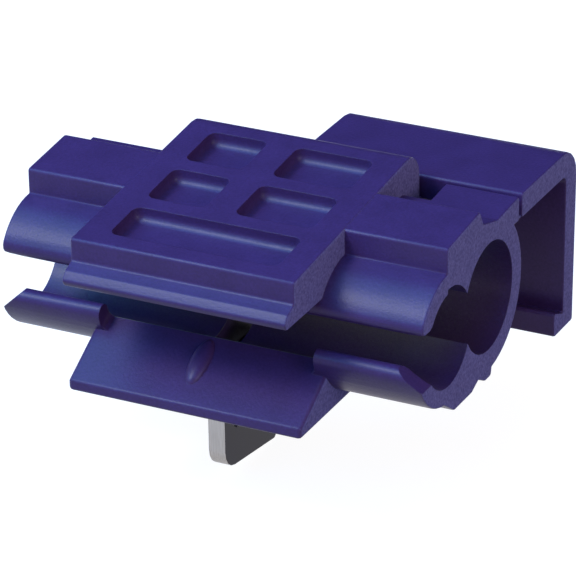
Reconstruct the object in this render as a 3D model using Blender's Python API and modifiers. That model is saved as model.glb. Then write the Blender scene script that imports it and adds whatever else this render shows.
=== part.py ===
"""T-tap wire connector: a blue C-section moulding with two parallel wire channels,
a hook-ended cover on a living hinge, and a slotted metal contact blade that is
pressed up through the floor into both wires.

Frame, in metres: X runs along the wires, Y to the back, where the cover hangs,
and Z up. The origin lies on the run channel's centre line, at mid-length.
"""

import math

import bmesh
import bpy
from mathutils import Matrix, Vector

# Wire channels
BODY_LENGTH = 0.020
RUN_RADIUS = 0.00225
TAP_RADIUS = 0.0025
TAP_Y = 0.0041
TAP_Z = 0.0001
TAP_WALL = 0.00105
UPPER_LIP_WALL = 0.0007
UPPER_LIP_GRIP = 0.0002
GRIP_BACK_Y = -0.0001
LOWER_LIP_WALL = 0.0008
MOUTH_TOP_Z = 0.00095
MOUTH_BOTTOM_Z = -0.0004

# Flare of the mouth at both ends
FLARE_LENGTH = 0.0011
FLARE_DROP = 0.00103
FLARE_RISE = 0.0002

# Strip along the top of the moulding, on the same tilted plane as the pad
TOP_TILT = math.radians(5.8)
TOP_Z = 0.00415
STRIP_FRONT_Y = -0.0001
STRIP_BACK_Y = 0.0032
STRIP_FOOT_Y = 0.00358
STRIP_FOOT_Z = 0.0037
STRIP_DROP = 0.00004

# Floor of the moulding, from the latch rib forward
FLOOR_Z = -0.00372
FLOOR_FRONT_Y = 0.00065
FLOOR_BACK_Y = 0.00245
FLOOR_STEP_Y = -0.0004
LATCH_DIP_Y = 0.00315
LATCH_DIP_Z = -0.00343
RIB_FRONT_Y = 0.00385
RIB_BACK_Y = 0.00445
RIB_Z = -0.0038

# Pressing pad on top
PAD_WIDTH = 0.0105
PAD_FRONT_Y = -0.00483
PAD_FACE_HEIGHT = 0.0010
PAD_LEDGE_Y = -0.0054
PAD_LEDGE_DROP = 0.00023
PAD_TOE_Y = -0.0057
PAD_UNDER_Z = 0.00178
PAD_TAIL_Y = 0.00745
PAD_TAIL_Z = 0.0023
PAD_TAIL_ROUND = 0.0012

# Pockets cored out of the pad, in rows from front to back
POCKET_LEFT_X = -0.0039
POCKET_RIGHT_X = 0.0040
POCKET_RIB_X = -0.0004
POCKET_RIB_WIDTH = 0.0014
POCKET_ROWS = ((-0.0039, -0.00145, False), (-0.0006, 0.00205, True), (0.0029, 0.00555, True))
POCKET_DEPTH = 0.00065
POCKET_FILLET = 0.0004

# Lead-in flange below the mouth
FLANGE_WIDTH = 0.0111
FLANGE_FRONT_Y = -0.0050
FLANGE_UNDER_Z = -0.00345
FLANGE_EDGE_HEIGHT = 0.0005
FLANGE_SLOPE = math.radians(30.0)
FLANGE_ROUND = 0.0002
RIDGE_X = -0.00015
RIDGE_Y = -0.0031
RIDGE_LENGTH = 0.0024
RIDGE_WIDTH = 0.0009
RIDGE_HEIGHT = 0.00028

# Gap in the lower lip above the flange
LIP_GAP_WIDTH = 0.0102
LIP_GAP_DROP = 0.00005
LIP_GAP_ROUND = 0.0004

# Cover on its living hinge, and the shelf that carries it
COVER_LENGTH = 0.01075
COVER_TOP_Z = 0.00348
COVER_PLATE = 0.00115
COVER_BACK_Y = 0.0138
COVER_WALL = 0.00125
COVER_FOOT_Y = 0.0135
COVER_FOOT_WALL = 0.0011
COVER_BOTTOM_Z = -0.0051
COVER_CORNER = 0.0015
COVER_INNER_CORNER = 0.0004
BARB_REACH = 0.0010
BARB_HEIGHT = 0.0012
BARB_UNDERCUT = 0.0004
HINGE_Y = 0.0075
HINGE_WEB = 0.00012
HINGE_GAP = 0.0003
GROOVE_Y = 0.00505
GROOVE_Z = 0.00331
RELIEF_WIDTH = 0.00135
TRIM_MARGIN = 0.00025
TRIM_LEFT = 0.00004

# Contact blade and the slot that guides it
BLADE_X = -0.00045
BLADE_THICKNESS = 0.0008
BLADE_WIDTH = 0.0065
BLADE_TOP_Z = -0.00315
BLADE_HEIGHT = 0.0048
BLADE_SLOPE = math.radians(7.4)
BLADE_CUT_WIDTH = 0.0018
BLADE_CUT_HEIGHT = 0.0015
BLADE_CORNER = 0.0010
WIRE_SLOT_WIDTH = 0.0008
WIRE_SLOT_DEPTH = 0.0032
WIRE_SLOT_LEAD = 0.00035
BLADE_CLEARANCE = 0.0002
BLADE_TRAVEL = 0.00505

# Small radii: a corner is rounder than the edge bevel, so that the bevel never crosses itself
EDGE_ROUND = 0.0001
CORNER_ROUND = 0.00015

# How far cutters run past the part, and how finely round forms are divided
OVERSHOOT = 0.001
CHANNEL_SIDES = 56
ARC_STEP = math.radians(7.5)


def top_height(y):
    """Height of the tilted top plane at a distance from the run channel."""
    return TOP_Z + math.tan(TOP_TILT) * y


def flange_slope_height(y):
    """Height of the flange's sloped top at a distance from the run channel."""
    edge_top = FLANGE_UNDER_Z + FLANGE_EDGE_HEIGHT
    return edge_top + math.tan(FLANGE_SLOPE) * (y - FLANGE_FRONT_Y)


def circle_height(y, centre, radius):
    """Height of a circle's upper half at a given y."""
    return centre.y + math.sqrt(radius ** 2 - (y - centre.x) ** 2)


def arc(centre, radius, start, end, step=ARC_STEP):
    """Points along a circle from one angle to another, both ends included."""
    count = max(2, math.ceil(abs(end - start) / step))
    angles = [start + (end - start) * i / count for i in range(count + 1)]
    return [centre + radius * Vector((math.cos(a), math.sin(a))) for a in angles]


def rounded(corners, step=math.radians(22.5)):
    """Points of an outline whose corners (y, z, radius) are rounded where radius isn't 0."""
    places = [Vector((y, z)) for y, z, radius in corners]
    points = []
    for i, (y, z, radius) in enumerate(corners):
        here = places[i]
        if radius == 0.0:
            points.append(here)
            continue
        back = (places[i - 1] - here).normalized()
        ahead = (places[(i + 1) % len(places)] - here).normalized()
        half = back.angle(ahead) / 2.0
        centre = here + (back + ahead).normalized() * radius / math.sin(half)
        first = (here + back * radius / math.tan(half)) - centre
        turn = -first.angle_signed((here + ahead * radius / math.tan(half)) - centre)
        start = math.atan2(first.y, first.x)
        points += arc(centre, radius, start, start + turn, step)
    return points


def move_to(obj, collection):
    """Keep an object in one collection only."""
    for other in list(obj.users_collection):
        other.objects.unlink(obj)
    collection.objects.link(obj)


def extrusion(name, points, low, high, collection, pivot=(0.0, 0.0), across=False):
    """Mesh of a closed (y, z) outline carried along X, with its origin at the pivot.

    Across, the outline is in (x, z) and is carried along Y.
    """
    curve = bpy.data.curves.new(name, "CURVE")
    curve.dimensions = "2D"
    curve.fill_mode = "BOTH"
    curve.extrude = (high - low) / 2.0
    spline = curve.splines.new("POLY")
    spline.points.add(len(points) - 1)
    for place, point in zip(spline.points, points):
        place.co = (point[0] - pivot[0], point[1] - pivot[1], 0.0, 1.0)
    spline.use_cyclic_u = True
    outline = bpy.data.objects.new(name + "_outline", curve)
    middle = (low + high) / 2.0
    outline.rotation_euler = (math.pi / 2.0, 0.0, 0.0 if across else math.pi / 2.0)
    outline.location = (pivot[0], middle, pivot[1]) if across else (middle, pivot[0], pivot[1])
    bpy.context.scene.collection.objects.link(outline)
    bpy.context.view_layer.update()
    evaluated = outline.evaluated_get(bpy.context.evaluated_depsgraph_get())
    mesh = bpy.data.meshes.new_from_object(evaluated)
    solid = bpy.data.objects.new(name, mesh)
    solid.matrix_world = outline.matrix_world.copy()
    bpy.data.objects.remove(outline)
    collection.objects.link(solid)
    shape = bmesh.new()
    shape.from_mesh(mesh)
    bmesh.ops.remove_doubles(shape, verts=shape.verts, dist=0.000001)
    bmesh.ops.dissolve_limit(shape, angle_limit=0.002, verts=shape.verts, edges=shape.edges)
    bmesh.ops.recalc_face_normals(shape, faces=shape.faces)
    shape.to_mesh(mesh)
    shape.free()
    return solid


def round_edges(obj, width, segments=2):
    """Bevel every edge that turns by more than 40 degrees."""
    bevel = obj.modifiers.new("rounded_edges", "BEVEL")
    bevel.limit_method = "ANGLE"
    bevel.angle_limit = math.radians(40.0)
    bevel.width = width
    bevel.segments = segments
    bevel.use_clamp_overlap = False


def combine(obj, other, operation):
    """Join another solid to this one, or cut it away."""
    boolean = obj.modifiers.new(other.name, "BOOLEAN")
    boolean.operation = operation
    boolean.solver = "EXACT"
    boolean.object = other


def hide_tool(obj):
    """Mark a solid that only shapes another one."""
    obj.hide_render = True
    obj.display_type = "WIRE"


def tap_channel(tools):
    """Round bar along X that cuts the tap wire's channel through the whole length."""
    bpy.ops.mesh.primitive_cylinder_add(
        vertices=CHANNEL_SIDES, radius=TAP_RADIUS, depth=BODY_LENGTH + 2.0 * OVERSHOOT,
        location=(0.0, TAP_Y, TAP_Z), rotation=(0.0, math.pi / 2.0, 0.0))
    bar = bpy.context.object
    bar.name = "tap_channel"
    move_to(bar, tools)
    return bar


def block(name, low, high, tools):
    """Box between two corners."""
    centre = (Vector(low) + Vector(high)) / 2.0
    bpy.ops.mesh.primitive_cube_add(size=1.0, location=centre)
    box = bpy.context.object
    box.name = name
    box.data.transform(Matrix.Diagonal((*(Vector(high) - Vector(low)), 1.0)))
    move_to(box, tools)
    return box


def body_outline():
    """Section of the moulding: two round channels in one C, open at the front mouth."""
    run = Vector((0.0, 0.0))
    tap = Vector((TAP_Y, TAP_Z))
    ring = TAP_RADIUS + TAP_WALL
    upper_lip = RUN_RADIUS + UPPER_LIP_WALL
    lower_lip = RUN_RADIUS + LOWER_LIP_WALL
    upper_round = (UPPER_LIP_WALL + UPPER_LIP_GRIP) / 2.0
    upper_middle = upper_lip - upper_round
    lower_middle = RUN_RADIUS + LOWER_LIP_WALL / 2.0
    upper_end = math.pi - math.asin((MOUTH_TOP_Z + upper_round) / upper_middle)
    lower_end = math.asin((LOWER_LIP_WALL / 2.0 - MOUTH_BOTTOM_Z) / lower_middle) - math.pi
    upper_cap = upper_middle * Vector((math.cos(upper_end), math.sin(upper_end)))
    lower_cap = lower_middle * Vector((math.cos(lower_end), math.sin(lower_end)))
    cap_step = math.radians(30.0)

    points = arc(upper_cap, upper_round, upper_end + math.pi, upper_end, cap_step)
    points += arc(run, upper_lip, upper_end, math.acos(STRIP_FRONT_Y / upper_lip))[1:]
    shelf_y = HINGE_Y - HINGE_GAP / 2.0
    under_z = COVER_TOP_Z - COVER_PLATE
    ring_start = math.asin((under_z - TAP_Z) / ring)
    points += rounded([
        (points[-1].x, points[-1].y, 0.0),
        (STRIP_FRONT_Y, top_height(STRIP_FRONT_Y) - STRIP_DROP, CORNER_ROUND),
        (STRIP_BACK_Y, top_height(STRIP_BACK_Y) - STRIP_DROP, CORNER_ROUND),
        (STRIP_FOOT_Y, STRIP_FOOT_Z, CORNER_ROUND),
        (GROOVE_Y, GROOVE_Z, CORNER_ROUND),
        (shelf_y, COVER_TOP_Z, CORNER_ROUND),
        (shelf_y, under_z, 0.0)])[1:]
    ring_end = -math.acos((RIB_BACK_Y + EDGE_ROUND - TAP_Y) / ring)
    points += arc(tap, ring, ring_start, ring_end)
    step_z = -circle_height(FLOOR_STEP_Y, run, lower_lip)
    points += rounded([
        (points[-1].x, points[-1].y, 0.0),
        (RIB_BACK_Y, RIB_Z, CORNER_ROUND),
        (RIB_FRONT_Y, RIB_Z, CORNER_ROUND),
        (LATCH_DIP_Y, LATCH_DIP_Z, CORNER_ROUND),
        (FLOOR_BACK_Y, FLOOR_Z, CORNER_ROUND),
        (FLOOR_FRONT_Y, FLOOR_Z, CORNER_ROUND),
        (FLOOR_STEP_Y, step_z, 0.0)])[1:]
    lip_start = -math.acos(FLOOR_STEP_Y / lower_lip)
    points += arc(run, lower_lip, lip_start, lower_end)[1:]
    points += arc(lower_cap, LOWER_LIP_WALL / 2.0, lower_end, lower_end - math.pi, cap_step)[1:]
    points.append(Vector((-RUN_RADIUS / 2.0, (MOUTH_TOP_Z + MOUTH_BOTTOM_Z) / 2.0)))
    return points


def shelf_trim_outline():
    """Section of the shelf itself, cut off down to the tap channel's wall where it isn't needed."""
    tap = Vector((TAP_Y, TAP_Z))
    ring = TAP_RADIUS + TAP_WALL + TRIM_LEFT
    top = math.acos((GROOVE_Y - TAP_Y) / ring)
    bottom = math.asin((COVER_TOP_Z - COVER_PLATE - TRIM_MARGIN - TAP_Z) / ring)
    points = arc(tap, ring, top, bottom)
    beyond = HINGE_Y + OVERSHOOT
    return points + [
        Vector((beyond, points[-1].y)),
        Vector((beyond, COVER_TOP_Z + OVERSHOOT)),
        Vector((GROOVE_Y, COVER_TOP_Z + OVERSHOOT))]


def flare_outline(side):
    """Front view (x, z) of the wedge that widens the mouth at one end, side being 1 or -1."""
    inner = side * (BODY_LENGTH / 2.0 - FLARE_LENGTH)
    outer = side * (BODY_LENGTH / 2.0 + FLARE_LENGTH)
    return [
        Vector((inner, MOUTH_BOTTOM_Z)),
        Vector((outer, MOUTH_BOTTOM_Z - 2.0 * FLARE_DROP)),
        Vector((outer, MOUTH_TOP_Z + 2.0 * FLARE_RISE)),
        Vector((inner, MOUTH_TOP_Z))]


def lip_gap_outline():
    """Section of the gap in the lower lip, with its floor just under the flange's slope."""
    front = -RUN_RADIUS - LOWER_LIP_WALL - OVERSHOOT
    back = -RUN_RADIUS / 2.0
    top = (MOUTH_TOP_Z + MOUTH_BOTTOM_Z) / 2.0
    return [
        Vector((front, flange_slope_height(front) - LIP_GAP_DROP)),
        Vector((back, flange_slope_height(back) - LIP_GAP_DROP)),
        Vector((back, top)),
        Vector((front, top))]


def run_channel_outline():
    """Section of the run channel, narrower under the upper lip, where it grips the wire."""
    centre = Vector((0.0, 0.0))
    narrow = RUN_RADIUS - UPPER_LIP_GRIP
    mouth = math.pi - math.asin((MOUTH_TOP_Z + MOUTH_BOTTOM_Z) / 2.0 / RUN_RADIUS)
    wide_start = math.acos(GRIP_BACK_Y / RUN_RADIUS)
    return (arc(centre, RUN_RADIUS, wide_start, mouth - 2.0 * math.pi)
            + arc(centre, narrow, mouth, math.acos(GRIP_BACK_Y / narrow)))


def pad_outline():
    """Section of the pressing pad, with the ledge and toe of its front edge."""
    face_bottom = top_height(PAD_FRONT_Y) - PAD_FACE_HEIGHT
    ledge_z = face_bottom - PAD_LEDGE_DROP
    return rounded([
        (PAD_FRONT_Y, top_height(PAD_FRONT_Y), CORNER_ROUND),
        (PAD_TAIL_Y, top_height(PAD_TAIL_Y), PAD_TAIL_ROUND),
        (PAD_TAIL_Y, PAD_TAIL_Z, CORNER_ROUND),
        (TAP_Y + TAP_RADIUS, PAD_TAIL_Z, 0.0),
        (0.0, PAD_UNDER_Z, 0.0),
        (PAD_TOE_Y + CORNER_ROUND, PAD_UNDER_Z, CORNER_ROUND),
        (PAD_TOE_Y, PAD_UNDER_Z + 2.0 * CORNER_ROUND, 0.0),
        (PAD_LEDGE_Y, ledge_z, CORNER_ROUND),
        (PAD_FRONT_Y, face_bottom, 0.0)])


def flange_outline():
    """Section of the lead-in flange, whose slope runs on into the run channel."""
    back = -RUN_RADIUS / 2.0
    in_wall = -RUN_RADIUS - LOWER_LIP_WALL / 2.0
    return rounded([
        (FLANGE_FRONT_Y, FLANGE_UNDER_Z, CORNER_ROUND),
        (FLANGE_FRONT_Y, flange_slope_height(FLANGE_FRONT_Y), CORNER_ROUND),
        (back, flange_slope_height(back), 0.0),
        (back, in_wall, 0.0),
        (FLOOR_FRONT_Y, in_wall, 0.0),
        (FLOOR_FRONT_Y, FLANGE_UNDER_Z, 0.0)])


def cover_outline():
    """Section of the cover: a plate, a leaning wall at its back and a hook inside the foot."""
    front = HINGE_Y + HINGE_GAP / 2.0
    under = COVER_TOP_Z - COVER_PLATE
    inner = COVER_FOOT_Y - COVER_FOOT_WALL
    tip = inner - BARB_REACH
    tip_z = COVER_BOTTOM_Z + BARB_HEIGHT
    return rounded([
        (front, COVER_TOP_Z, CORNER_ROUND),
        (front, under, 0.0),
        (COVER_BACK_Y - COVER_WALL, under, COVER_INNER_CORNER),
        (inner, tip_z - BARB_UNDERCUT, 0.0),
        (tip, tip_z, CORNER_ROUND),
        (tip, COVER_BOTTOM_Z, CORNER_ROUND),
        (COVER_FOOT_Y, COVER_BOTTOM_Z, CORNER_ROUND),
        (COVER_BACK_Y, COVER_TOP_Z, COVER_CORNER)])


def blade_outline():
    """Plate with two wire slots that open upward, each with a lead-in and a round end."""
    middle = TAP_Y / 2.0
    front = middle - BLADE_WIDTH / 2.0
    back = middle + BLADE_WIDTH / 2.0
    foot = BLADE_TOP_Z - BLADE_HEIGHT
    slope = math.tan(BLADE_SLOPE)
    cut_y = back - BLADE_CUT_WIDTH
    foot_at_cut = foot - slope * (cut_y - front)
    points = rounded([
        (back, BLADE_TOP_Z, EDGE_ROUND),
        (back, foot_at_cut + BLADE_CUT_HEIGHT, CORNER_ROUND),
        (cut_y, foot_at_cut, CORNER_ROUND),
        (front, foot, BLADE_CORNER),
        (front, BLADE_TOP_Z, EDGE_ROUND)])
    half = WIRE_SLOT_WIDTH / 2.0
    for slot_y in (0.0, TAP_Y):
        points += [
            Vector((slot_y - half - WIRE_SLOT_LEAD, BLADE_TOP_Z)),
            Vector((slot_y - half, BLADE_TOP_Z - WIRE_SLOT_LEAD))]
        end = Vector((slot_y, BLADE_TOP_Z - WIRE_SLOT_DEPTH + half))
        points += arc(end, half, math.pi, 2.0 * math.pi, math.radians(22.5))
        points += [
            Vector((slot_y + half, BLADE_TOP_Z - WIRE_SLOT_LEAD)),
            Vector((slot_y + half + WIRE_SLOT_LEAD, BLADE_TOP_Z))]
    return points


def pocket_cutters(tools):
    """Rounded boxes, tilted with the pad, that core out its top."""
    rib_left = POCKET_RIB_X - POCKET_RIB_WIDTH / 2.0
    rib_right = POCKET_RIB_X + POCKET_RIB_WIDTH / 2.0
    cutters = []
    for row, (front, back, split) in enumerate(POCKET_ROWS):
        spans = ((POCKET_LEFT_X, rib_left), (rib_right, POCKET_RIGHT_X))
        if not split:
            spans = ((POCKET_LEFT_X, POCKET_RIGHT_X),)
        for side, (left, right) in enumerate(spans):
            depth = POCKET_DEPTH
            length = (back - front) / math.cos(TOP_TILT)
            pocket = block(f"pocket_{row}_{side}", (left, -length / 2.0, -depth),
                           (right, length / 2.0, OVERSHOOT), tools)
            middle = (front + back) / 2.0
            pocket.data.transform(Matrix.Translation(pocket.location))
            pocket.location = (0.0, middle, top_height(middle))
            pocket.rotation_euler = (TOP_TILT, 0.0, 0.0)
            round_edges(pocket, POCKET_FILLET, 4)
            cutters.append(pocket)
    return cutters


def ridge(tools):
    """Low rounded ridge down the flange's slope, in front of the blade."""
    bpy.ops.mesh.primitive_uv_sphere_add(
        segments=20, ring_count=10, radius=0.5, rotation=(FLANGE_SLOPE, 0.0, 0.0),
        location=(RIDGE_X, RIDGE_Y, flange_slope_height(RIDGE_Y)))
    bump = bpy.context.object
    bump.name = "flange_ridge"
    bump.data.transform(Matrix.Diagonal((RIDGE_WIDTH, RIDGE_LENGTH, 2.0 * RIDGE_HEIGHT, 1.0)))
    move_to(bump, tools)
    return bump


def make_body(parts, tools):
    """The moulding: C section, hinge shelf, pressing pad and lead-in flange."""
    half = BODY_LENGTH / 2.0
    body = extrusion("connector_body", body_outline(), -half, half, parts)
    round_edges(body, EDGE_ROUND)

    trim = extrusion("shelf_trim", shelf_trim_outline(), -half - OVERSHOOT,
                     half - COVER_LENGTH, tools)
    combine(body, trim, "DIFFERENCE")
    relief = extrusion("hinge_relief", shelf_trim_outline(), PAD_WIDTH / 2.0 - OVERSHOOT,
                       PAD_WIDTH / 2.0 + RELIEF_WIDTH, tools)
    combine(body, relief, "DIFFERENCE")
    lip_gap = extrusion("lip_gap", lip_gap_outline(), -LIP_GAP_WIDTH / 2.0,
                        LIP_GAP_WIDTH / 2.0, tools)
    round_edges(lip_gap, LIP_GAP_ROUND, 4)
    combine(body, lip_gap, "DIFFERENCE")
    for name, side in (("left", -1), ("right", 1)):
        flare = extrusion("mouth_flare_" + name, flare_outline(side),
                          -RUN_RADIUS - LOWER_LIP_WALL - OVERSHOOT, -RUN_RADIUS / 2.0,
                          tools, across=True)
        combine(body, flare, "DIFFERENCE")

    pad = extrusion("pressing_pad", pad_outline(), -PAD_WIDTH / 2.0, PAD_WIDTH / 2.0, tools)
    round_edges(pad, EDGE_ROUND)
    combine(body, pad, "UNION")
    flange = extrusion("flange", flange_outline(), -FLANGE_WIDTH / 2.0, FLANGE_WIDTH / 2.0, tools)
    round_edges(flange, FLANGE_ROUND, 3)
    combine(body, flange, "UNION")
    combine(body, ridge(tools), "UNION")
    for pocket in pocket_cutters(tools):
        combine(body, pocket, "DIFFERENCE")

    run_channel = extrusion("run_channel", run_channel_outline(), -half - OVERSHOOT,
                            half + OVERSHOOT, tools)
    combine(body, run_channel, "DIFFERENCE")
    combine(body, tap_channel(tools), "DIFFERENCE")
    slot_x = BLADE_THICKNESS / 2.0 + BLADE_CLEARANCE
    slot_y = BLADE_WIDTH / 2.0 + BLADE_CLEARANCE
    slot_top = BLADE_TOP_Z + BLADE_TRAVEL + BLADE_CLEARANCE
    blade_slot = block("blade_slot", (BLADE_X - slot_x, TAP_Y / 2.0 - slot_y, FLOOR_Z - OVERSHOOT),
                       (BLADE_X + slot_x, TAP_Y / 2.0 + slot_y, slot_top), tools)
    combine(body, blade_slot, "DIFFERENCE")
    return body


def make_cover(parts):
    """The hook-ended cover, with its origin on the living hinge's axis."""
    half = BODY_LENGTH / 2.0
    axis = (HINGE_Y, COVER_TOP_Z - COVER_PLATE + HINGE_WEB / 2.0)
    cover = extrusion("cover", cover_outline(), half - COVER_LENGTH, half, parts, axis)
    round_edges(cover, EDGE_ROUND)
    return cover


def make_blade(parts):
    """The contact blade, with its origin on the line that it slides along."""
    half = BLADE_THICKNESS / 2.0
    line = (TAP_Y / 2.0, BLADE_TOP_Z)
    return extrusion("contact_blade", blade_outline(), BLADE_X - half, BLADE_X + half, parts, line)


def plastic(name, colour, roughness):
    """Opaque moulded plastic."""
    material = bpy.data.materials.new(name)
    material.use_nodes = True
    shader = material.node_tree.nodes["Principled BSDF"]
    shader.inputs["Base Color"].default_value = (*colour, 1.0)
    shader.inputs["Roughness"].default_value = roughness
    return material


def metal(name, colour, roughness):
    """Bare metal sheet."""
    material = plastic(name, colour, roughness)
    material.node_tree.nodes["Principled BSDF"].inputs["Metallic"].default_value = 1.0
    return material


def finish(obj, material):
    """Give a piece its material and smooth round faces."""
    obj.data.materials.clear()
    obj.data.materials.append(material)
    obj.data.shade_smooth()
    obj.data.set_sharp_from_angle(angle=math.radians(35.0))


def main():
    for obj in list(bpy.data.objects):
        bpy.data.objects.remove(obj)
    parts = bpy.data.collections.new("t_tap_connector")
    tools = bpy.data.collections.new("cutters")
    bpy.context.scene.collection.children.link(parts)
    bpy.context.scene.collection.children.link(tools)

    body = make_body(parts, tools)
    cover = make_cover(parts)
    blade = make_blade(parts)
    for tool in tools.objects:
        hide_tool(tool)
    finish(body, plastic("body_blue_plastic", (0.035, 0.042, 0.22), 0.42))
    finish(cover, plastic("cover_blue_plastic", (0.035, 0.042, 0.22), 0.42))
    finish(blade, metal("plated_contact_metal", (0.62, 0.60, 0.58), 0.32))
    bpy.context.view_layer.update()
    for piece in (cover, blade):
        piece.parent = body
        piece.matrix_parent_inverse = body.matrix_world.inverted()


main()
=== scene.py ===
"""Looks of a t-tap wire connector: dark blue moulded plastic and a plated contact blade.

Lengths are in metres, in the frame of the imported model: X along both wires, Y to the
back, where the cover hangs, and Z up.
"""

import math

import bpy
import numpy as np
from mathutils import Matrix, Vector


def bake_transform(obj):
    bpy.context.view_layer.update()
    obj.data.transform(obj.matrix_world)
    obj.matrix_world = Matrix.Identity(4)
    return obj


MM = 0.001

# Camera, as fitted to the photograph: angles in degrees, lens and film width in millimetres
CAMERA_AZIMUTH = 26.90
CAMERA_ELEVATION = 25.44
CAMERA_ROLL = 0.942
CAMERA_DISTANCE = 169.9 * MM
CAMERA_AIM = Vector((1.718, 1.568, -0.027)) * MM
CAMERA_SEES_FROM = 5.0 * MM
FULL_FRAME = 36.0
LENS_ON_FULL_FRAME = 247.6

# Living hinge: the web joins the back edge of the moulding to the cover's front edge
WEB_THICKNESS = 0.12 * MM
WEB_UNDER_Z = 2.33 * MM
WEB_START_Y = 7.30 * MM
WEB_END_Y = 7.72 * MM
WEB_SPANS = ((-0.70 * MM, 5.20 * MM), (6.65 * MM, 9.90 * MM))
WEB_STEPS_ACROSS = 12
WEB_STEPS_ALONG = 8

# Channels: radius, and centre in y and z. A wall counts as a channel's up to the first
# distance outside its radius, and no longer from the second on.
RUN_CHANNEL = (2.25 * MM, (0.0, 0.0))
TAP_CHANNEL = (2.50 * MM, (4.1 * MM, 0.1 * MM))
CHANNEL_WALL_TO = 0.01 * MM
CHANNEL_WALL_NONE = 0.03 * MM

# Plastic: a face that looks along the wires is a matt end beyond these distances from
# mid-length, so the walls of the pad's pockets keep the satin skin
BODY_ENDS_BEYOND = 5.2 * MM
COVER_ENDS_BEYOND = 0.0
SKIN_COLOURS = ("#36224b", "#3a2551")
END_COLOURS = ("#48426c", "#68618e")
CLOUD_WIDTH = 1.5 * MM
GRAIN_WIDTH = 0.12 * MM
SPECKLE = 0.14
SKIN_ROUGHNESS = 0.38
END_ROUGHNESS = 0.9
SKIN_GRAIN_HEIGHT = 0.010 * MM
END_GRAIN_HEIGHT = 0.012 * MM
PLASTIC_IOR = 1.49
PLASTIC_GLOSS = 0.2

# Painted shade: a grey that stands in for deep shade in the wire channels. It starts where
# a wall sees less open space than the first share, within its reach, and is full at the second
CHANNEL_SHADE_COLOUR = "#6e786c"
CHANNEL_SHADE_REACH = 4.0 * MM
CHANNEL_SHADE_STARTS = 0.80
CHANNEL_SHADE_FULL = 0.40

# Metal: the lines of the brushing are twenty times as long as they are apart
# Painted shade on the blade's broad faces and painted highlight on its sheared edges
SHADED_FACE_COLOURS = ("#14121c", "#1e1b2a")
HIGHLIT_EDGE_COLOURS = ("#98928e", "#aca6a2")
BRUSHING_WIDTH = 0.05 * MM
BRUSHING_SQUEEZE = 0.05
METAL_ROUGHNESS = (0.35, 0.45)

# Surfaces: radius of the softened edges, distance at which loose corners are one, and
# the sharpest fold that still looks round
SOFT_EDGE = 0.06 * MM
SAME_CORNER = 0.001 * MM
SMOOTH_UNDER = math.radians(34.0)

# Studio
FLOOR_Z = -8.62 * MM
FLOOR_REACH = 1.0
FLOOR_COLOUR = "#7c7c80"
FLOOR_GLOW = 0.93
CARD_COLOUR = "#202024"
CARD_DEPTH = 0.30
CARD_HEIGHT = 0.34
CARD_HALF_LENGTH = 0.5
CARD_TOP_ANGLE = 80.0
WHITE = (1, 1, 1, 1)

# Nodes: values between which most of a noise lies, and the sockets of a colour Mix
NOISE_RANGE = (0.3, 0.7)
MIX_FACTOR, MIX_A, MIX_B, MIX_RESULT = 0, 6, 7, 2


def linear(code):
    """Linear colour of an sRGB hex code."""
    srgb = np.array([int(code[i:i + 2], 16) / 255.0 for i in (1, 3, 5)])
    low = srgb / 12.92
    high = ((srgb + 0.055) / 1.055) ** 2.4
    return (*np.where(srgb <= 0.04045, low, high).tolist(), 1.0)


def add_node(tree, kind, settings=None, values=None, links=None):
    """Add a node, set its properties and its sockets' values, and link sockets to it."""
    node = tree.nodes.new(kind)
    for name, setting in (settings or {}).items():
        setattr(node, name, setting)
    for socket, value in (values or {}).items():
        node.inputs[socket].default_value = value
    for socket, source in (links or {}).items():
        tree.links.new(source, node.inputs[socket])
    return node


def new_material(name):
    """Empty node material and its tree."""
    material = bpy.data.materials.new(name)
    material.use_nodes = True
    material.node_tree.nodes.clear()
    return material, material.node_tree


def set_ramp(ramp, colours):
    """Run a colour ramp between two colours, over the values that most of a noise has."""
    for stop, position, code in zip(ramp.color_ramp.elements, NOISE_RANGE, colours):
        stop.position = position
        stop.color = linear(code)


def along_wires(tree, place, starts, full):
    """Socket that rises from 0 to 1 as a face turns to look along the wires.

    The two limits are sizes of the normal's part along X, which is 1 on a square end.
    """
    direction = add_node(tree, "ShaderNodeSeparateXYZ", links={0: place.outputs["Normal"]})
    sideways = add_node(tree, "ShaderNodeMath", {"operation": "ABSOLUTE"},
                        links={0: direction.outputs["X"]})
    turned = add_node(tree, "ShaderNodeMapRange", {"interpolation_type": "SMOOTHSTEP"},
                      {"From Min": starts, "From Max": full}, {"Value": sideways.outputs[0]})
    return turned.outputs[0]


def end_faces(tree, place, beyond):
    """Socket that is 1 on faces square to the wires that lie farther out than a distance."""
    square = along_wires(tree, place, starts=0.80, full=0.97)
    position = add_node(tree, "ShaderNodeSeparateXYZ", links={0: place.outputs["Object"]})
    distance = add_node(tree, "ShaderNodeMath", {"operation": "ABSOLUTE"},
                        links={0: position.outputs["X"]})
    outside = add_node(tree, "ShaderNodeMath", {"operation": "GREATER_THAN"}, {1: beyond},
                       {0: distance.outputs[0]})
    both = add_node(tree, "ShaderNodeMath", {"operation": "MULTIPLY"}, None,
                    {0: square, 1: outside.outputs[0]})
    return both.outputs[0]


def in_channel(tree, place, channel):
    """Socket that is 1 on the wall of a wire channel and inside it."""
    radius, (y, z) = channel
    across = add_node(tree, "ShaderNodeVectorMath", {"operation": "MULTIPLY"},
                      {1: (0.0, 1.0, 1.0)}, {0: place.outputs["Object"]})
    distance = add_node(tree, "ShaderNodeVectorMath", {"operation": "DISTANCE"},
                        {1: (0.0, y, z)}, {0: across.outputs[0]})
    inside = add_node(tree, "ShaderNodeMapRange", {"interpolation_type": "SMOOTHSTEP"},
                      {"From Min": radius + CHANNEL_WALL_NONE,
                       "From Max": radius + CHANNEL_WALL_TO},
                      {"Value": distance.outputs["Value"]})
    return inside.outputs[0]


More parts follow.
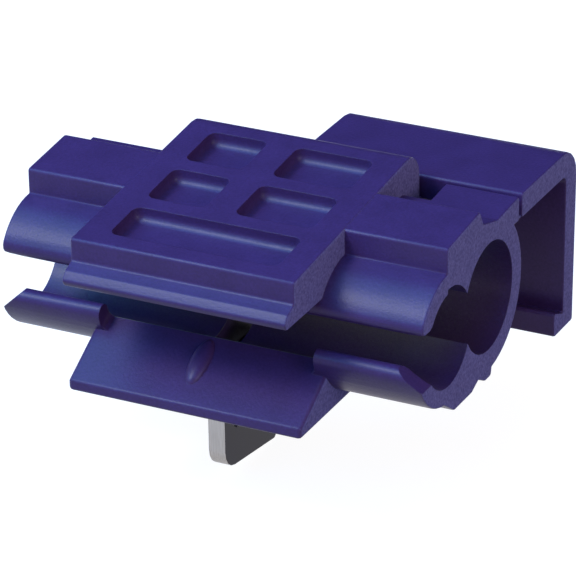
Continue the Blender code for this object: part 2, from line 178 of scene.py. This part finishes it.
def deep_in_channels(tree, place):
    """Socket that is 1 where shade is painted in: on the wires' channels, away from their
    mouths.
    """
    open_space = add_node(tree, "ShaderNodeAmbientOcclusion", {"samples": 8},
                          {"Distance": CHANNEL_SHADE_REACH})
    deep = add_node(tree, "ShaderNodeMapRange", {"interpolation_type": "SMOOTHSTEP"},
                    {"From Min": CHANNEL_SHADE_STARTS, "From Max": CHANNEL_SHADE_FULL},
                    {"Value": open_space.outputs["AO"]})
    channels = add_node(tree, "ShaderNodeMath", {"operation": "MAXIMUM"}, None,
                        {0: in_channel(tree, place, RUN_CHANNEL),
                         1: in_channel(tree, place, TAP_CHANNEL)})
    both = add_node(tree, "ShaderNodeMath", {"operation": "MULTIPLY"}, None,
                    {0: deep.outputs[0], 1: channels.outputs[0]})
    return both.outputs[0]


def moulded_plastic(name, ends_beyond):
    """Blue-violet moulded polypropylene.

    Injection moulded in a polished steel tool, so the long faces have a satin skin with
    soft wide highlights. The ends were left as the spark-eroded tool gave them: matt, paler
    and finely speckled. Typical IOR 1.49, roughness 0.38 on the skin and 0.9 at the ends,
    with a weakened gloss, because the fine grain breaks it up. The pigment clouds are about
    1.5 mm wide and the grain about 0.12 mm. A grey is painted in for shade deep in the wire
    channels, so they look dark grey.
    """
    material, tree = new_material(name)
    place = add_node(tree, "ShaderNodeTexCoord")
    matt_end = end_faces(tree, place, ends_beyond)
    clouds = add_node(tree, "ShaderNodeTexNoise", None,
                      {"Scale": 1.0 / CLOUD_WIDTH, "Detail": 2.0, "Roughness": 0.5},
                      {"Vector": place.outputs["Object"]})
    grain = add_node(tree, "ShaderNodeTexNoise", None,
                     {"Scale": 1.0 / GRAIN_WIDTH, "Detail": 3.0, "Roughness": 0.6},
                     {"Vector": place.outputs["Object"]})
    cloudy = add_node(tree, "ShaderNodeValToRGB", links={0: clouds.outputs["Fac"]})
    set_ramp(cloudy, SKIN_COLOURS)
    speckle = add_node(tree, "ShaderNodeMapRange", None,
                       {"From Min": NOISE_RANGE[0], "From Max": NOISE_RANGE[1],
                        "To Min": 1.0 - SPECKLE, "To Max": 1.0 + SPECKLE},
                       {"Value": grain.outputs["Fac"]})
    skin = add_node(tree, "ShaderNodeVectorMath", {"operation": "SCALE"}, None,
                    {0: cloudy.outputs[0], "Scale": speckle.outputs[0]})
    ends = add_node(tree, "ShaderNodeValToRGB", links={0: grain.outputs["Fac"]})
    set_ramp(ends, END_COLOURS)
    clean = add_node(tree, "ShaderNodeMix", {"data_type": "RGBA"}, None,
                     {MIX_FACTOR: matt_end, MIX_A: skin.outputs[0], MIX_B: ends.outputs[0]})
    # Painted shade: grey mixed in deep in the wire channels, where shade falls
    shade_painted = add_node(tree, "ShaderNodeMix", {"data_type": "RGBA"}, {MIX_B: linear(CHANNEL_SHADE_COLOUR)},
                     {MIX_FACTOR: deep_in_channels(tree, place),
                      MIX_A: clean.outputs[MIX_RESULT]})
    rough = add_node(tree, "ShaderNodeMapRange", None,
                     {"To Min": SKIN_ROUGHNESS, "To Max": END_ROUGHNESS}, {"Value": matt_end})
    grain_height = add_node(tree, "ShaderNodeMapRange", None,
                            {"To Min": SKIN_GRAIN_HEIGHT, "To Max": END_GRAIN_HEIGHT},
                            {"Value": matt_end})
    height = add_node(tree, "ShaderNodeMath", {"operation": "MULTIPLY"}, None,
                      {0: grain.outputs["Fac"], 1: grain_height.outputs[0]})
    soft_edge = add_node(tree, "ShaderNodeBevel", {"samples": 4}, {"Radius": SOFT_EDGE})
    bump = add_node(tree, "ShaderNodeBump", None, {"Strength": 1.0, "Distance": 1.0},
                    {"Height": height.outputs[0], "Normal": soft_edge.outputs[0]})
    shader = add_node(tree, "ShaderNodeBsdfPrincipled", None,
                      {"IOR": PLASTIC_IOR, "Specular IOR Level": PLASTIC_GLOSS},
                      {"Base Color": shade_painted.outputs[MIX_RESULT], "Roughness": rough.outputs[0],
                       "Normal": bump.outputs[0]})
    add_node(tree, "ShaderNodeOutputMaterial", links={0: shader.outputs[0]})
    return material


def plated_sheet():
    """Tin-plated brass sheet of the contact blade.

    Stamped from dull plated strip and slightly brushed. The broad faces are painted dark for
    shade and reflection, and the sheared edges are painted bright for highlight. A metal, so
    the default IOR; roughness 0.35 to 0.45. The brushing runs up and down, with lines about
    0.05 mm apart.
    """
    material, tree = new_material("tin_plated_brass")
    place = add_node(tree, "ShaderNodeTexCoord")
    broad = along_wires(tree, place, starts=0.3, full=0.8)
    stretch = add_node(tree, "ShaderNodeMapping", None, {"Scale": (1.0, 1.0, BRUSHING_SQUEEZE)},
                       {"Vector": place.outputs["Object"]})
    lines = add_node(tree, "ShaderNodeTexNoise", None,
                     {"Scale": 1.0 / BRUSHING_WIDTH, "Detail": 2.0},
                     {"Vector": stretch.outputs[0]})
    face = add_node(tree, "ShaderNodeValToRGB", links={0: lines.outputs["Fac"]})
    set_ramp(face, SHADED_FACE_COLOURS)
    edge = add_node(tree, "ShaderNodeValToRGB", links={0: lines.outputs["Fac"]})
    set_ramp(edge, HIGHLIT_EDGE_COLOURS)
    # Painted light: dark broad faces for shade and reflection, bright sheared edges for
    # highlight
    colour = add_node(tree, "ShaderNodeMix", {"data_type": "RGBA"}, None,
                      {MIX_FACTOR: broad, MIX_A: edge.outputs[0], MIX_B: face.outputs[0]})
    rough = add_node(tree, "ShaderNodeMapRange", None,
                     {"To Min": METAL_ROUGHNESS[0], "To Max": METAL_ROUGHNESS[1]},
                     {"Value": lines.outputs["Fac"]})
    soft_edge = add_node(tree, "ShaderNodeBevel", {"samples": 4}, {"Radius": SOFT_EDGE})
    shader = add_node(tree, "ShaderNodeBsdfPrincipled", None, {"Metallic": 1.0},
                      {"Base Color": colour.outputs[MIX_RESULT], "Roughness": rough.outputs[0],
                       "Normal": soft_edge.outputs[0]})
    add_node(tree, "ShaderNodeOutputMaterial", links={0: shader.outputs[0]})
    return material


def seen_directly(tree):
    """Socket that is 1 for what the camera sees straight, in a reflection or through glass."""
    paths = add_node(tree, "ShaderNodeLightPath")
    mirrored = add_node(tree, "ShaderNodeMath", {"operation": "MAXIMUM"}, None,
                        {0: paths.outputs["Is Camera Ray"], 1: paths.outputs["Is Glossy Ray"]})
    seen = add_node(tree, "ShaderNodeMath", {"operation": "MAXIMUM"}, None,
                    {0: mirrored.outputs[0], 1: paths.outputs["Is Transmission Ray"]})
    return seen.outputs[0]


def floor_paint():
    """White paint of the studio floor.

    Rolled on and fully matt, so it needs no IOR or roughness. It lifts to white where it is
    seen, so that only the part's soft shadow shows on it.
    """
    material, tree = new_material("matt_white_paint")
    paint = add_node(tree, "ShaderNodeBsdfDiffuse", None, {"Color": linear(FLOOR_COLOUR)})
    glow = add_node(tree, "ShaderNodeEmission", None, {"Color": WHITE, "Strength": FLOOR_GLOW})
    lifted = add_node(tree, "ShaderNodeAddShader", None, None,
                      {0: paint.outputs[0], 1: glow.outputs[0]})
    mix = add_node(tree, "ShaderNodeMixShader", None, None,
                   {0: seen_directly(tree), 1: paint.outputs[0], 2: lifted.outputs[0]})
    add_node(tree, "ShaderNodeOutputMaterial", links={0: mix.outputs[0]})
    return material


def dark_cloth():
    """Black cloth of the card that keeps white out of the part's top faces.

    Woven and dyed, and fully matt, so it needs no IOR or roughness.
    """
    material, tree = new_material("black_cloth")
    cloth = add_node(tree, "ShaderNodeBsdfDiffuse", None, {"Color": linear(CARD_COLOUR)})
    add_node(tree, "ShaderNodeOutputMaterial", links={0: cloth.outputs[0]})
    return material


def smooth_group():
    """Node group that joins a solid's loose triangles and smooths all but its sharp edges."""
    group = bpy.data.node_groups.new("smooth_solid", "GeometryNodeTree")
    group.interface.new_socket("Geometry", in_out="INPUT", socket_type="NodeSocketGeometry")
    group.interface.new_socket("Geometry", in_out="OUTPUT", socket_type="NodeSocketGeometry")
    start = add_node(group, "NodeGroupInput")
    merged = add_node(group, "GeometryNodeMergeByDistance", None, {"Distance": SAME_CORNER},
                      {"Geometry": start.outputs[0]})
    angle = add_node(group, "GeometryNodeInputMeshEdgeAngle")
    sharp = add_node(group, "FunctionNodeCompare", {"operation": "GREATER_THAN"},
                     {1: SMOOTH_UNDER}, {0: angle.outputs["Unsigned Angle"]})
    faces = add_node(group, "GeometryNodeSetShadeSmooth", {"domain": "FACE"},
                     {"Shade Smooth": True}, {"Geometry": merged.outputs[0]})
    edges = add_node(group, "GeometryNodeSetShadeSmooth", {"domain": "EDGE"},
                     {"Shade Smooth": False},
                     {"Geometry": faces.outputs[0], "Selection": sharp.outputs[0]})
    add_node(group, "NodeGroupOutput", links={0: edges.outputs[0]})
    return group


def dress(node, material, group):
    """Give a solid its material, and shade its round faces smoothly and its flat ones flat."""
    node.data.materials.clear()
    node.data.materials.append(material)
    node.modifiers.new("smooth", "NODES").node_group = group
    node.modifiers.new("keep_flats_flat", "WEIGHTED_NORMAL").keep_sharp = True


def mesh_object(name, points, faces, material):
    """Object at the origin from arrays of points and quads."""
    mesh = bpy.data.meshes.new(name)
    mesh.from_pydata(points.reshape(-1, 3).tolist(), [], faces.tolist())
    mesh.materials.append(material)
    obj = bpy.data.objects.new(name, mesh)
    bpy.context.scene.collection.objects.link(obj)
    return obj


def grid_quads(rows, columns, ring):
    """Quads of a grid of points, in which each row may close into a ring."""
    i, j = np.meshgrid(np.arange(rows - 1), np.arange(columns if ring else columns - 1),
                       indexing="ij")
    following = (j + 1) % columns
    return np.stack((i * columns + j, (i + 1) * columns + j,
                     (i + 1) * columns + following, i * columns + following), -1).reshape(-1, 4)


def hinge_web(name, x_from, x_to, material):
    """Thin web of the living hinge, as a flat band with closed ends.

    With u from 0 to 1 round the band's section and v from 0 to 1 along X, the section
    runs back along y on the underside and forward on the top: y = start + (end - start)
    * t and z = under + thickness * side, where t rises and falls once with u, and side
    is 0 on the underside and 1 on the top.
    """
    t = np.linspace(0.0, 1.0, WEB_STEPS_ACROSS + 1)
    y = WEB_START_Y + (WEB_END_Y - WEB_START_Y) * np.concatenate((t, t[::-1]))
    z = WEB_UNDER_Z + WEB_THICKNESS * np.concatenate((np.zeros_like(t), np.ones_like(t)))
    x = np.linspace(x_from, x_to, WEB_STEPS_ALONG + 1)
    points = np.stack(np.broadcast_arrays(x[:, None], y[None], z[None]), axis=-1)
    sides = grid_quads(len(x), len(y), ring=True)
    k = np.arange(WEB_STEPS_ACROSS)
    near = np.stack((k, k + 1, len(y) - 2 - k, len(y) - 1 - k), -1)
    far = near[:, ::-1] + (len(x) - 1) * len(y)
    web = mesh_object(name, points, np.concatenate((sides, near, far)), material)
    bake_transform(web)


def make_floor(material):
    """Large flat floor under the blade's foot."""
    corners = FLOOR_REACH * np.array([[-1, -1], [1, -1], [1, 1], [-1, 1]])
    points = np.column_stack((corners, np.full(4, FLOOR_Z)))
    mesh_object("floor", points, np.array([[0, 1, 2, 3]]), material)


def make_card(material):
    """Dark card behind and over the part, which only reflections see.

    Nearly a quarter of an upright ellipse, swept along X: y = depth * cos(a) and
    z = floor + height * sin(a), with a from 0 at the floor to its top angle over the part.
    """
    a = np.radians(np.linspace(0.0, CARD_TOP_ANGLE, 17))
    x = np.linspace(-CARD_HALF_LENGTH, CARD_HALF_LENGTH, 5)
    y = CARD_DEPTH * np.cos(a)
    z = FLOOR_Z + CARD_HEIGHT * np.sin(a)
    points = np.stack(np.broadcast_arrays(x[:, None], y[None], z[None]), axis=-1)
    facing_part = grid_quads(len(x), len(a), ring=False)[:, ::-1]
    card = mesh_object("dark_card", points, facing_part, material)
    card.visible_camera = False
    card.visible_diffuse = False
    card.visible_shadow = False


def make_camera():
    """Camera at the photograph's viewing angle."""
    azimuth = math.radians(CAMERA_AZIMUTH)
    elevation = math.radians(CAMERA_ELEVATION)
    towards = Vector((math.sin(azimuth) * math.cos(elevation),
                      -math.cos(azimuth) * math.cos(elevation), math.sin(elevation)))
    data = bpy.data.cameras.new("camera")
    data.sensor_width = FULL_FRAME
    data.lens = LENS_ON_FULL_FRAME
    data.clip_start = CAMERA_SEES_FROM
    camera = bpy.data.objects.new("camera", data)
    bpy.context.scene.collection.objects.link(camera)
    place = Matrix.Translation(CAMERA_AIM + towards * CAMERA_DISTANCE)
    turn = (-towards).to_track_quat("-Z", "Y").to_matrix().to_4x4()
    roll = Matrix.Rotation(-math.radians(CAMERA_ROLL), 4, "Z")
    camera.matrix_world = place @ turn @ roll
    bpy.context.scene.camera = camera


def make_light(name, direction, distance, size, power, colour):
    """Square lamp that looks at the part from a direction; its power is in watts."""
    data = bpy.data.lights.new(name, "AREA")
    data.size = size
    data.energy = power
    data.color = linear(colour)[:3]
    lamp = bpy.data.objects.new(name, data)
    bpy.context.scene.collection.objects.link(lamp)
    direction = Vector(direction).normalized()
    lamp.location = direction * distance
    lamp.rotation_euler = direction.to_track_quat("Z", "Y").to_euler()


def make_world(colour, strength):
    """Even surrounding light, with white wherever it is seen itself."""
    world = bpy.data.worlds.new("studio")
    bpy.context.scene.world = world
    world.use_nodes = True
    tree = world.node_tree
    tree.nodes.clear()
    fill = add_node(tree, "ShaderNodeBackground", None,
                    {"Color": linear(colour), "Strength": strength})
    white = add_node(tree, "ShaderNodeBackground", None, {"Color": WHITE, "Strength": 1.0})
    mix = add_node(tree, "ShaderNodeMixShader", None, None,
                   {0: seen_directly(tree), 1: fill.outputs[0], 2: white.outputs[0]})
    add_node(tree, "ShaderNodeOutputWorld", links={0: mix.outputs[0]})


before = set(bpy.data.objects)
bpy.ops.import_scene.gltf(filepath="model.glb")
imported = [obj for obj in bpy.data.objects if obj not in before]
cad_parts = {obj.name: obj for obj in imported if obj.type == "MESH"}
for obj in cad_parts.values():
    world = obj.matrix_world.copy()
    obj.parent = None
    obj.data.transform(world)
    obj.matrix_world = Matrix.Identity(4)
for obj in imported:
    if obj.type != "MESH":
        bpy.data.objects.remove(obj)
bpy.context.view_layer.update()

bpy.context.scene.view_settings.view_transform = "Standard"
plastic = moulded_plastic("moulded_polypropylene_body", BODY_ENDS_BEYOND)
cover_plastic = moulded_plastic("moulded_polypropylene_cover", COVER_ENDS_BEYOND)
metal = plated_sheet()
smooth = smooth_group()
dress(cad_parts["connector_body"], plastic, smooth)
dress(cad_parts["cover"], cover_plastic, smooth)
dress(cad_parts["contact_blade"], metal, smooth)
for side, (x_from, x_to) in zip(("left", "right"), WEB_SPANS):
    hinge_web("hinge_web_" + side, x_from, x_to, plastic)

make_floor(floor_paint())
make_card(dark_cloth())
make_camera()

# A small key lamp for the ridges' highlights, a fill for the right end, and a wide blue
# one, which makes the faces that look up and forward bluer than the rest
make_light("key", direction=(-0.400, -0.480, 0.781), distance=0.25, size=0.07, power=0.36,
           colour="#ffffff")
make_light("side_fill", direction=(0.90, -0.35, 0.25), distance=0.25, size=0.12, power=0.22,
           colour="#e6e0ff")
make_light("blue_fill", direction=(-0.42, -0.40, 0.815), distance=0.30, size=0.40, power=2.4,
           colour="#10b0ff")
make_world("#fff0ec", strength=0.45)
